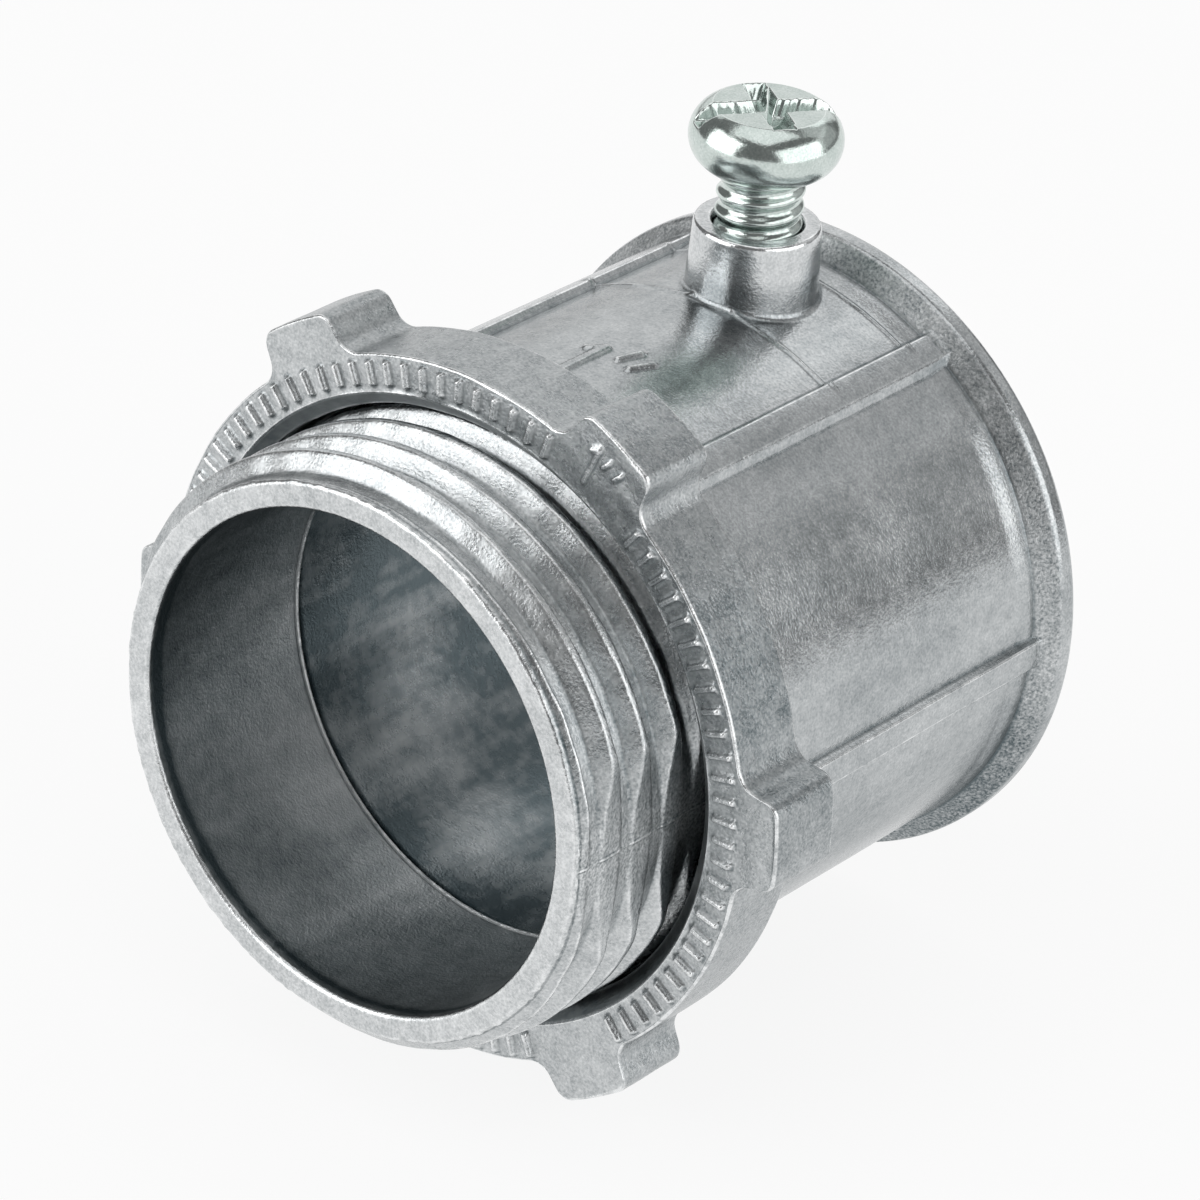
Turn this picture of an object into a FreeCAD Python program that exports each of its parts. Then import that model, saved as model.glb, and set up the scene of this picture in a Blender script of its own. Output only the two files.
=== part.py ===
import FreeCAD, Part
import math
import os

from FreeCAD import Vector

# Set-screw connector for thin-wall steel conduit, trade size one inch, in millimetres.
# The connector's axis is Y. The origin lies on that axis in the plane of the shoulder, which seats
# against the wall of a box. The threaded nipple points along -Y, the conduit enters from +Y,
# and the set screw stands up along +Z.

# Bores, from the conduit inwards to the mouth of the nipple
socket_radius = 15.0
socket_entry_chamfer = 0.5
conduit_stop_width = 0.4
conduit_stop_y = -0.3
throat_taper = 0.6
mouth_edge_radius = 0.25
throat_rear_radius = socket_radius - conduit_stop_width
mouth_radius = throat_rear_radius - throat_taper

# Threaded nipple
nipple_length = 12.75
nipple_wall = 1.55
nipple_face_inset = 0.05
thread_height = 1.05
thread_pitch = 2.475
thread_crest_width = 0.45
thread_flank_half_angle = 30.0
thread_crest_y_at_mark = -5.38
thread_mark_angle = 50.0
lead_in_length = 1.3
parting_crest_height = 0.35
thread_root_radius = mouth_radius + nipple_wall
thread_crest_radius = thread_root_radius + thread_height
nipple_face_radius = thread_root_radius - nipple_face_inset
parting_half_width = thread_root_radius + parting_crest_height

# Barrel
barrel_length = 26.1
barrel_wall = 2.4
shoulder_height = 0.9
shoulder_length = 1.2
shoulder_edge_radius = 0.25
shoulder_fillet_radius = 0.5
panel_radius = socket_radius + barrel_wall
shoulder_radius = panel_radius + shoulder_height

# Bead round the conduit end
bead_height = 1.35
bead_width = 1.6
bead_ramp_length = 1.0
bead_edge_radius = 0.35
bead_fillet_radius = 0.4
bead_radius = panel_radius + bead_height
bead_ramp_y = barrel_length - bead_width - bead_ramp_length

# Longitudinal ribs
rib_count = 6
rib_first_angle = 30.0
rib_top_width = 1.5
rib_base_width = 2.5
rib_height = 0.5
rib_sink = 0.8

# Set screw
screw_thread_radius = 2.41
screw_length = 9.3
screw_tip_chamfer = 0.5
screw_tip_clearance = 0.2
head_radius = 4.2
head_height = 3.5
head_top_radius = 2.9
head_seat_radius = 2.95
head_equator_height = 1.6
screw_tip_z = socket_radius + screw_tip_clearance
head_seat_z = screw_tip_z + screw_length

# Combined slot and cross recess in the head
recess_angle = 55.0
slot_width = 1.2
slot_depth = 0.9
cross_reach = 2.2
cross_width = 1.2
cross_depth = 1.9
cross_floor_share = 0.45

# Boss for the set screw, as close to the bead as its foot allows
screw_clearance = 0.09
hole_mouth_chamfer = 0.15
boss_wall = 1.0
boss_height = 3.95
boss_draft = 0.15
boss_edge_radius = 0.3
boss_fillet_radius = 0.9
boss_gap = 0.29
screw_hole_radius = screw_thread_radius + screw_clearance
boss_radius = screw_hole_radius + boss_wall
boss_foot_radius = boss_radius + boss_draft
boss_top_z = panel_radius + boss_height
screw_y = bead_ramp_y - boss_gap - boss_fillet_radius - boss_foot_radius

# Locknut
locknut_thickness = 4.8
locknut_wall = 3.07
locknut_play = 0.15
locknut_seat_gap = 0.06
locknut_mouth_chamfer = 1.0
locknut_back_chamfer = 0.5
locknut_front_edge_radius = 0.2
locknut_groove_depth = 0.6
locknut_groove_floor_width = 0.5
locknut_bore_radius = thread_crest_radius + locknut_play
locknut_mouth_radius = locknut_bore_radius + locknut_mouth_chamfer
locknut_radius = locknut_bore_radius + locknut_wall

# Lugs of the locknut
lug_count = 6
lug_first_angle = 26.6
lug_height = 2.28
lug_tip_half_width = 2.45
lug_root_half_width = 2.78
lug_corner_radius = 0.6
lug_root_fillet_radius = 0.9
lug_tip_radius = locknut_radius + lug_height

# Radial ridges on the front face of the locknut
ridge_sectors = 3
ridges_per_sector = 28
ridge_pitch_angle = 3.69
ridge_mouth_margin = 0.37
ridge_rim_margin = 0.4
ridge_base_width = 0.72
ridge_top_width = 0.26
ridge_height = 0.3
ridge_sink = 0.2
ridge_inner_radius = locknut_mouth_radius + ridge_mouth_margin
ridge_outer_radius = locknut_radius - ridge_rim_margin

# How far a cutting tool runs past the face that it cuts, and how far a joined form runs into its carrier
overrun = 1.0
sink = 0.25

ORIGIN = Vector(0, 0, 0)
AXIS = Vector(0, 1, 0)


def revolve(points):
    """A solid of revolution about the connector's axis from (radius, y) corners."""
    corners = [Vector(0, y, radius) for radius, y in points]
    outline = Part.makePolygon(corners + [corners[0]])
    return Part.Face(outline).revolve(ORIGIN, AXIS, 360)


def turn(shape, angle_deg):
    """A copy turned about the connector's axis, from +Z towards +X."""
    copy = shape.copy()
    copy.rotate(ORIGIN, AXIS, angle_deg)
    return copy


def circular_edges(shape, radius, y, tolerance=1e-4):
    """The edges of a shape that run round the axis at this radius and this station."""
    found = []
    for edge in shape.Edges:
        middle = edge.valueAt((edge.FirstParameter + edge.LastParameter) / 2)
        start = edge.valueAt(edge.FirstParameter)
        ends_match = all(abs(p.y - y) < tolerance for p in (start, middle))
        radii_match = all(abs(math.hypot(p.x, p.z) - radius) < tolerance for p in (start, middle))
        if ends_match and radii_match:
            found.append(edge)
    return found


def wind(section_points, y_start, y_end, y_at_mark):
    """A solid coil: a section of (radius, y) corners wound right-handed about the axis.

    The middle of the section passes through y_at_mark at the angle thread_mark_angle.
    """
    start_radius = section_points[0][0]
    helix = Part.makeLongHelix(thread_pitch, y_end - y_start, start_radius)
    corners = [Vector(radius, 0, y) for radius, y in section_points]
    section = Part.makePolygon(corners + [corners[0]])
    coil = Part.Wire(helix).makePipeShell([section], True, True)
    coil.rotate(ORIGIN, Vector(1, 0, 0), -90)
    start_angle = thread_mark_angle + 360 * (y_start - y_at_mark) / thread_pitch
    coil = turn(coil, start_angle - 90)
    coil.translate(Vector(0, y_start, 0))
    return coil


def trapezoid(wide_radius, narrow_radius, narrow_width):
    """A thread section whose flanks narrow from one radius to the other at the thread's flank angle."""
    flank = abs(narrow_radius - wide_radius) * math.tan(math.radians(thread_flank_half_angle))
    half_narrow = narrow_width / 2
    half_wide = half_narrow + flank
    return [(wide_radius, -half_wide), (narrow_radius, -half_narrow), (narrow_radius, half_narrow),
            (wide_radius, half_wide)]


def nipple():
    """The threaded nipple: a core with one helical ridge, flattened at the parting line of the die."""
    y_start = -nipple_length - thread_pitch
    y_end = shoulder_length / 2
    core = revolve([
        (0, -nipple_length),
        (nipple_face_radius, -nipple_length),
        (thread_root_radius, -nipple_length + lead_in_length / 2),
        (thread_root_radius, shoulder_length / 2),
        (0, shoulder_length / 2),
    ])
    section = trapezoid(thread_root_radius - sink, thread_crest_radius, thread_crest_width)
    ridge = wind(section, y_start, y_end, thread_crest_y_at_mark)
    envelope = revolve([
        (0, -nipple_length),
        (nipple_face_radius, -nipple_length),
        (thread_crest_radius + sink, -nipple_length + lead_in_length),
        (thread_crest_radius + sink, shoulder_length / 2),
        (0, shoulder_length / 2),
    ])
    flats = Part.makeBox(
        2 * parting_half_width, nipple_length + shoulder_length, 4 * thread_crest_radius,
        Vector(-parting_half_width, -nipple_length, -2 * thread_crest_radius))
    return core.fuse(ridge).common(envelope).common(flats)


def boss():
    """The drafted boss that carries the set screw, from inside the barrel wall to its top."""
    foot_z = socket_radius + barrel_wall / 2
    cone = Part.makeCone(
        boss_foot_radius, boss_radius, boss_top_z - foot_z, Vector(0, screw_y, foot_z), Vector(0, 0, 1))
    top_edges = [edge for edge in cone.Edges if abs(edge.BoundBox.ZMin - boss_top_z) < 1e-4]
    return cone.makeFillet(boss_edge_radius, top_edges)


def barrel():
    """The barrel's outer form with its shoulder, bead and boss, before its ribs and bores."""
    wall = revolve([
        (0, 0),
        (shoulder_radius, 0),
        (shoulder_radius, shoulder_length),
        (panel_radius, shoulder_length),
        (panel_radius, bead_ramp_y),
        (bead_radius, barrel_length - bead_width),
        (bead_radius, barrel_length),
        (0, barrel_length),
    ])
    corner_fillets = [
        (bead_edge_radius, bead_radius, barrel_length),
        (bead_edge_radius, bead_radius, barrel_length - bead_width),
        (bead_fillet_radius, panel_radius, bead_ramp_y),
        (shoulder_fillet_radius, panel_radius, shoulder_length),
        (shoulder_edge_radius, shoulder_radius, shoulder_length),
        (shoulder_edge_radius, shoulder_radius, 0),
    ]
    for fillet_radius, edge_ring_radius, y in corner_fillets:
        wall = wall.makeFillet(fillet_radius, circular_edges(wall, edge_ring_radius, y))
    whole = wall.fuse(boss())
    foot_edges = []
    for edge in whole.Edges:
        box = edge.BoundBox
        beside_boss = abs(box.Center.y - screw_y) < boss_radius and box.YLength < 3 * boss_radius
        on_panel = panel_radius - boss_radius < box.ZMin and box.ZMax < panel_radius + boss_height / 4
        if beside_boss and on_panel:
            foot_edges.append(edge)
    return whole.makeFillet(boss_fillet_radius, foot_edges)


def rib():
    """One longitudinal rib at the top of the barrel, with drafted flanks, sunk into the wall."""
    top = panel_radius + rib_height
    bottom = panel_radius - rib_sink
    spread = (rib_base_width - rib_top_width) / 2
    foot_half_width = rib_top_width / 2 + spread * (rib_height + rib_sink) / rib_height
    section = Part.makePolygon([
        Vector(-foot_half_width, 0, bottom),
        Vector(-rib_top_width / 2, 0, top),
        Vector(rib_top_width / 2, 0, top),
        Vector(foot_half_width, 0, bottom),
        Vector(-foot_half_width, 0, bottom),
    ])
    length = barrel_length - bead_width - shoulder_length / 2
    bar = Part.Face(section).extrude(Vector(0, length, 0))
    bar.translate(Vector(0, shoulder_length / 2, 0))
    return bar


def bores():
    """What is taken out along the axis: the flared throat, the conduit stop and the conduit socket."""
    return revolve([
        (0, -nipple_length - overrun),
        (mouth_radius + mouth_edge_radius + overrun, -nipple_length - overrun),
        (mouth_radius, -nipple_length + mouth_edge_radius),
        (throat_rear_radius, conduit_stop_y),
        (socket_radius, conduit_stop_y),
        (socket_radius, barrel_length - socket_entry_chamfer),
        (socket_radius + socket_entry_chamfer + overrun, barrel_length + overrun),
        (0, barrel_length + overrun),
    ])


def screw_hole():
    """The hole down through the boss, with a chamfered mouth."""
    drill = Part.makeCylinder(
        screw_hole_radius, boss_top_z, Vector(0, screw_y, socket_radius / 2), Vector(0, 0, 1))
    mouth = Part.makeCone(
        screw_hole_radius, screw_hole_radius + 2 * hole_mouth_chamfer, 2 * hole_mouth_chamfer,
        Vector(0, screw_y, boss_top_z - hole_mouth_chamfer), Vector(0, 0, 1))
    return drill.fuse(mouth)


def connector_body():
    """The die casting: nipple, shoulder, ribbed barrel, bead and boss in one piece."""
    ribs = [turn(rib(), rib_first_angle + 360 / rib_count * k) for k in range(rib_count)]
    casting = barrel().fuse(ribs + [nipple()])
    return casting.cut(bores()).cut(screw_hole()).removeSplitter()


def plain_disc(radius):
    """A disc as thick as the locknut, behind the locknut's front face."""
    return revolve([(0, 0), (radius, 0), (radius, -locknut_thickness), (0, -locknut_thickness)])


def lug():
    """One lug of the locknut at the top of the ring, with drafted flanks and rounded tip corners."""
    foot = locknut_radius - 2 * lug_root_fillet_radius
    over = lug_tip_radius + overrun
    spread = (lug_root_half_width - lug_tip_half_width) / lug_height
    foot_half_width = lug_tip_half_width + spread * (lug_tip_radius - foot)
    over_half_width = lug_tip_half_width - spread * overrun
    section = Part.makePolygon([
        Vector(-foot_half_width, 0, foot),
        Vector(-over_half_width, 0, over),
        Vector(over_half_width, 0, over),
        Vector(foot_half_width, 0, foot),
        Vector(-foot_half_width, 0, foot),
    ])
    block = Part.Face(section).extrude(Vector(0, -locknut_thickness, 0))
    block = block.common(plain_disc(lug_tip_radius))
    corners = [edge for edge in block.Edges
               if edge.BoundBox.YLength > locknut_thickness - 0.01 and edge.BoundBox.ZMin > locknut_radius]
    return block.makeFillet(lug_corner_radius, corners)


def lugged_ring():
    """The locknut's outline: a plain disc and its lugs, with a concave fillet at the foot of each lug."""
    lugs = [turn(lug(), lug_first_angle + 360 / lug_count * k) for k in range(lug_count)]
    ring = plain_disc(locknut_radius).fuse(lugs).removeSplitter()
    roots = []
    for edge in ring.Edges:
        if edge.BoundBox.YLength < locknut_thickness - 0.01 or len(edge.Vertexes) != 2:
            continue
        point = edge.Vertexes[0].Point
        if abs(math.hypot(point.x, point.z) - locknut_radius) < 1e-3:
            roots.append(edge)
    return ring.makeFillet(lug_root_fillet_radius, roots)


def ridge():
    """One radial ridge on the front face of the locknut, at the top of the ring, sloped on all four sides."""
    face_y = -locknut_thickness
    base = ridge_base_width / 2
    crown = ridge_top_width / 2
    sides = [
        (base, ridge_inner_radius, ridge_outer_radius, face_y + ridge_sink),
        (base, ridge_inner_radius, ridge_outer_radius, face_y),
        (crown, ridge_inner_radius + base, ridge_outer_radius - base, face_y - ridge_height),
    ]
    wires = []
    for half_width, inner, outer, y in sides:
        wires.append(Part.makePolygon([
            Vector(-half_width, y, inner),
            Vector(half_width, y, inner),
            Vector(half_width, y, outer),
            Vector(-half_width, y, outer),
            Vector(-half_width, y, inner),
        ]))
    return Part.makeLoft(wires, True, True)


def face_ridges():
    """All the ridges: an even run of them between each two of the lugs that are left smooth."""
    sector_angle = 360 / ridge_sectors
    first = (sector_angle - (ridges_per_sector - 1) * ridge_pitch_angle) / 2
    ridges = []
    for sector in range(ridge_sectors):
        smooth_lug_angle = lug_first_angle + sector_angle * sector
        for k in range(ridges_per_sector):
            ridges.append(turn(ridge(), smooth_lug_angle + first + ridge_pitch_angle * k))
    return ridges


def locknut_bore():
    """What is taken out of the locknut: a bore that clears the nipple's crests, chamfered at both ends."""
    return revolve([
        (0, overrun),
        (locknut_bore_radius + locknut_back_chamfer + overrun, overrun),
        (locknut_bore_radius, -locknut_back_chamfer),
        (locknut_bore_radius, -locknut_thickness + locknut_mouth_chamfer),
        (locknut_mouth_radius + overrun, -locknut_thickness - overrun),
        (0, -locknut_thickness - overrun),
    ])


def locknut_groove():
    """The thread of the locknut: a helical groove in its bore, in step with the ridge of the nipple."""
    section = trapezoid(
        locknut_bore_radius - sink, locknut_bore_radius + locknut_groove_depth, locknut_groove_floor_width)
    return wind(section, -locknut_thickness - thread_pitch, thread_pitch, thread_crest_y_at_mark)


def locknut():
    """The lugged locknut, run up to the shoulder."""
    ring = lugged_ring()
    front = [edge for edge in ring.Edges if abs(edge.BoundBox.YMax + locknut_thickness) < 1e-4]
    ring = ring.makeFillet(locknut_front_edge_radius, front)
    ring = ring.cut(locknut_bore()).cut(locknut_groove()).fuse(face_ridges())
    ring.translate(Vector(0, -locknut_seat_gap, 0))
    return ring


def screw_head():
    """The rounded pan head: a flat top, a full round side and a flat seat, turned about the screw's axis."""
    equator = head_seat_z + head_equator_height
    top = head_seat_z + head_height
    half_turn_share = math.sqrt(0.5)
    upper_mid = Vector(head_top_radius + half_turn_share * (head_radius - head_top_radius), 0,
                       equator + half_turn_share * (top - equator))
    lower_mid = Vector(head_seat_radius + half_turn_share * (head_radius - head_seat_radius), 0,
                       equator - half_turn_share * (equator - head_seat_z))
    side_top = Vector(head_top_radius, 0, top)
    side_mid = Vector(head_radius, 0, equator)
    side_foot = Vector(head_seat_radius, 0, head_seat_z)
    edges = [
        Part.makeLine(Vector(0, 0, head_seat_z), side_foot),
        Part.Arc(side_foot, lower_mid, side_mid).toShape(),
        Part.Arc(side_mid, upper_mid, side_top).toShape(),
        Part.makeLine(side_top, Vector(0, 0, top)),
        Part.makeLine(Vector(0, 0, top), Vector(0, 0, head_seat_z)),
    ]
    return Part.Face(Part.Wire(edges)).revolve(ORIGIN, Vector(0, 0, 1), 360)


def cross_outline(reach, half_width, z):
    """A plus-shaped wire about the screw's axis."""
    corners = []
    for quarter in range(4):
        angle = math.radians(90 * quarter)
        along = Vector(math.cos(angle), math.sin(angle), 0)
        across = Vector(-math.sin(angle), math.cos(angle), 0)
        corners.append(along * reach - across * half_width)
        corners.append(along * reach + across * half_width)
        corners.append(along * half_width + across * half_width)
    corners = [Vector(point.x, point.y, z) for point in corners]
    return Part.makePolygon(corners + [corners[0]])


def recess():
    """The slot right across the head and the tapered cross in its middle."""
    top_z = head_seat_z + head_height
    slot = Part.makeBox(
        4 * head_radius, slot_width, slot_depth + overrun,
        Vector(-2 * head_radius, -slot_width / 2, top_z - slot_depth))
    above = 1 + overrun * (1 - cross_floor_share) / cross_depth
    cross = Part.makeLoft([
        cross_outline(cross_reach * above, cross_width / 2 * above, top_z + overrun),
        cross_outline(
            cross_reach * cross_floor_share, cross_width / 2 * cross_floor_share, top_z - cross_depth),
    ], True, True)
    tool = slot.fuse(cross)
    tool.rotate(ORIGIN, Vector(0, 0, 1), recess_angle)
    return tool


def set_screw():
    """The set screw as it is sold: backed out so that its tip just clears the conduit socket."""
    shank = Part.makeCylinder(screw_thread_radius, screw_length + sink, Vector(0, 0, screw_tip_z))
    tip_edges = [edge for edge in shank.Edges if abs(edge.BoundBox.ZMax - screw_tip_z) < 1e-4]
    shank = shank.makeChamfer(screw_tip_chamfer, tip_edges)
    screw = shank.fuse(screw_head()).cut(recess()).removeSplitter()
    screw.translate(Vector(0, screw_y, 0))
    return screw


os.makedirs("parts", exist_ok=True)
pieces = {
    "connector_body": connector_body(),
    "locknut": locknut(),
    "set_screw": set_screw(),
}
for name, shape in pieces.items():
    print(name, "solids", len(shape.Solids), "valid", shape.isValid(), "volume", round(shape.Volume, 1))
    shape.exportStep(os.path.join("parts", name + ".step"))
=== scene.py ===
import bpy
import numpy as np
from mathutils import Matrix, Vector


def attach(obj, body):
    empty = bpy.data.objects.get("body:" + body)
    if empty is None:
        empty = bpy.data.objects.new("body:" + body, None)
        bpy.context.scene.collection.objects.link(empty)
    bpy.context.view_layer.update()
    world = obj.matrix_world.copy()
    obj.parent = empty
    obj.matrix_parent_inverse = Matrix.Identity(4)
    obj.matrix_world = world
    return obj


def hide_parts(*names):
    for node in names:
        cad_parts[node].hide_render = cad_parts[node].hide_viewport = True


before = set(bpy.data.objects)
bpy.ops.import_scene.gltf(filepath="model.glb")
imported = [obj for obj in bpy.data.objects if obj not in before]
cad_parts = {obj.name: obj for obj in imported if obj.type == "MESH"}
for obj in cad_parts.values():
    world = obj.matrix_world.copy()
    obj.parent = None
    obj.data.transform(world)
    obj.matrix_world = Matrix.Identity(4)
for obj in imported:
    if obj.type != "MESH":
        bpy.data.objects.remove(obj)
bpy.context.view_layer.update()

# The threaded nipple: the end of the casting that goes through the wall of a box. Zinc alloy, cast in a
# die of two halves, so its coarse right-hand thread is flattened where the halves part and a thin line of
# flash is left there. It is one casting with the barrel, and its rear end runs on inside the barrel's wall.
MM = 0.001
row_margin = 0.01
surface_margin = 0.05
mouth_radius = 14.0
mouth_edge_radius = 0.3
throat_rear_radius = 14.6
socket_radius = 15.0
conduit_stop_y = -0.3
throat_lip_height = 0.12
throat_lip_length = 0.06
throat_lip_foot = 0.2
nipple_length = 12.75
nipple_face_radius = 15.5
nipple_face_edge_radius = 0.26
thread_root_radius = 15.55
thread_crest_radius = 16.6
thread_pitch = 2.475
thread_crest_width = 0.45
thread_slope = np.tan(np.radians(30.0))
thread_crest_y_at_mark = -5.38
thread_mark_angle = 50.0
thread_rounding = 0.09
lead_in_length = 1.3
lead_in_outer_radius = 16.85
fine_thread_end_y = -4.2
parting_half_width = 15.59
parting_rounding = 0.12
flash_angle = 88.3
flash_height = 0.05
flash_half_width = 0.08
nipple_tail_y = 0.5
nipple_tail_radius = 15.2
casting_unevenness = 0.012
crest_unevenness = 0.035
crest_wave_stretch = 0.4
smooth_mouth_width = 0.6
burr_height = 0.05
burr_half_width = 0.12
burr_reach_y = 0.3
mouth_fine_length = 1.4


def rounded_loop(corners):
    """Rows of a closed outline through (radius, y, rounding, spacing) corners.

    At a corner the outline follows the circle that touches both its sides. The circle's centre lies on the
    bisector, rounding / sin(half the corner's angle) away from the corner. The straight side that follows
    the corner is divided evenly into steps of about its spacing, with one more row beside each arc, which
    keeps the shading of a flat side flat.
    """
    arc_step = np.radians(16)
    beside_arc = 0.07
    points = np.array([corner[:2] for corner in corners])
    rounding = np.array([corner[2] for corner in corners])
    spacing = np.array([corner[3] for corner in corners])
    to_last = np.roll(points, 1, axis=0) - points
    to_next = np.roll(points, -1, axis=0) - points
    to_last /= np.linalg.norm(to_last, axis=1, keepdims=True)
    to_next /= np.linalg.norm(to_next, axis=1, keepdims=True)
    half_angle = np.arccos(np.clip((to_last * to_next).sum(axis=1), -1, 1)) / 2
    reach = rounding / np.tan(half_angle)
    arc_start = points + to_last * reach[:, None]
    arc_end = points + to_next * reach[:, None]
    next_start = np.roll(arc_start, -1, axis=0)
    rows = []
    for k in range(len(points)):
        if rounding[k] > 0:
            bisector = to_last[k] + to_next[k]
            bisector /= np.linalg.norm(bisector)
            centre = points[k] + bisector * rounding[k] / np.sin(half_angle[k])
            swept = np.pi - 2 * half_angle[k]
            t = np.linspace(0, 1, max(3, int(np.ceil(swept / arc_step)) + 1))[:, None]
            first, last = arc_start[k] - centre, arc_end[k] - centre
            rows.append(centre + (np.sin((1 - t) * swept) * first + np.sin(t * swept) * last) / np.sin(swept))
        else:
            rows.append(points[k:k + 1])
        side = next_start[k] - arc_end[k]
        length = np.linalg.norm(side)
        inner = np.linspace(0, 1, max(2, int(np.ceil(length / spacing[k])) + 1))[1:-1]
        if rounding[k] > 0 and length > 4 * beside_arc:
            inner = np.append(inner, beside_arc / length)
        if rounding[(k + 1) % len(points)] > 0 and length > 4 * beside_arc:
            inner = np.append(inner, 1 - beside_arc / length)
        rows.append(arc_end[k] + side * np.unique(inner)[:, None])
    return np.concatenate(rows)


def spread(half_width, step):
    """Offsets from -half_width to half_width, a step apart."""
    return np.arange(-half_width, half_width + step / 2, step)


def wrapped(angle):
    """The same angle between -180 and 180 degrees."""
    return (angle + 180) % 360 - 180


def angle_columns(coarse_step, zones):
    """Angles round the axis from -180 to 180 degrees: even steps, and each zone's centre plus its offsets.

    A zone takes out the angles set before it, up to half its first step beyond its ends.
    """
    angles = np.arange(-180, 180, coarse_step)
    for centre, offsets in zones:
        away = np.abs(wrapped(angles - centre))
        kept = away > -offsets[0] + (offsets[1] - offsets[0]) / 2
        angles = np.concatenate([angles[kept], wrapped(centre + offsets)])
    return np.sort(angles)


def turned(radius, y, angle):
    """Points at a radius and a station y, at an angle in degrees from +Z towards +X."""
    turn = np.radians(angle)
    return np.stack(np.broadcast_arrays(radius * np.sin(turn), y, radius * np.cos(turn)), axis=-1)


def soft_min(a, b, width):
    """The smaller of two values, rounded over about width where they cross."""
    return (a + b - np.sqrt((a - b) ** 2 + width ** 2)) / 2


def soft_max(a, b, width):
    """The larger of two values, rounded over about width where they cross."""
    return (a + b + np.sqrt((a - b) ** 2 + width ** 2)) / 2


def unevenness(angle, y, seed, finest=34):
    """Small waves, between about -1 and 1: a sum of sines with fixed random pitch and phase.

    A wave goes round the axis at least 2 and fewer than finest times, and along it turns by at most
    steepest radians for each millimetre.
    """
    wave_count = 14
    steepest = 2.6
    usual_sum = 4
    draw = np.random.default_rng(seed)
    total = 0
    for _ in range(wave_count):
        around = draw.integers(2, finest)
        along = draw.uniform(-steepest, steepest)
        phase = draw.uniform(0, 2 * np.pi)
        total = total + np.sin(np.radians(angle) * around + y * along + phase)
    return total / usual_sum


def skin_depth(angle, y, seed, finest=34):
    """How far the cast skin lies inside its full size, in millimetres: a mean depth and small waves."""
    mean_share = 1.2
    return casting_unevenness * (mean_share + unevenness(angle, y, seed, finest))


def grid_faces(rows, columns):
    """Corner numbers of the quads of a grid that closes on itself both ways."""
    index = np.arange(rows * columns).reshape(rows, columns)
    right = np.roll(index, -1, axis=1)
    below = np.roll(index, -1, axis=0)
    return np.stack([index, right, np.roll(right, -1, axis=0), below], axis=-1)


def add_object(name, data):
    """A new object in the scene."""
    made = bpy.data.objects.new(name, data)
    bpy.context.scene.collection.objects.link(made)
    return made


def make_piece(name, points, faces, finish, body, node, marks):
    """A smooth closed mesh from points in millimetres, facing outwards, riding on its body for its CAD node.

    A face is four corners, and one whose last two are the same is a triangle.
    Twice the sum of corner . (corner x corner) over the triangles is twelve times the volume, so its sign
    says which way the faces point. The attribute edge is the mean over a vertex's edges of
    (difference of normals . difference of places) / length squared, the surface's curvature per millimetre:
    above 0 on ridges and corners, below 0 in grooves. Each mark is one more attribute, its name with a
    function of the points.
    """
    points = points.reshape(-1, 3)
    faces = faces.reshape(-1, faces.shape[-1])
    used, faces = np.unique(faces, return_inverse=True)
    faces = faces.reshape(-1, 4)
    points = points[used]
    a, b, c, d = (points[faces[:, k]] for k in range(4))
    volume = (a * np.cross(b, c)).sum() + (a * np.cross(c, d)).sum()
    if volume < 0:
        faces = faces[:, ::-1]
    corners = faces != np.roll(faces, 1, axis=1)
    mesh = bpy.data.meshes.new(name)
    mesh.vertices.add(len(points))
    mesh.vertices.foreach_set("co", (points * MM).ravel())
    mesh.loops.add(corners.sum())
    mesh.loops.foreach_set("vertex_index", faces[corners])
    mesh.polygons.add(len(faces))
    mesh.polygons.foreach_set("loop_start", np.cumsum(corners.sum(axis=1)) - corners.sum(axis=1))
    mesh.polygons.foreach_set("use_smooth", np.ones(len(faces), bool))
    mesh.update(calc_edges=True)
    mesh.validate()
    normals = np.empty(len(points) * 3)
    mesh.vertex_normals.foreach_get("vector", normals)
    normals = normals.reshape(-1, 3)
    ends = np.empty(len(mesh.edges) * 2, int)
    mesh.edges.foreach_get("vertices", ends)
    first, second = ends.reshape(-1, 2).T
    step = points[first] - points[second]
    turn = ((normals[first] - normals[second]) * step).sum(axis=1) / np.maximum((step ** 2).sum(axis=1), 1e-6)
    edge_sum = np.bincount(first, turn, len(points)) + np.bincount(second, turn, len(points))
    edge_count = np.bincount(first, minlength=len(points)) + np.bincount(second, minlength=len(points))
    edge = mesh.attributes.new("edge", "FLOAT", "POINT")
    edge.data.foreach_set("value", edge_sum / edge_count)
    for mark, value_at in marks.items():
        marked = mesh.attributes.new(mark, "FLOAT", "POINT")
        marked.data.foreach_set("value", value_at(points).astype(float))
    mesh.materials.append(finish)
    piece = add_object(name, mesh)
    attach(piece, body)
    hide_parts(node)


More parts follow.
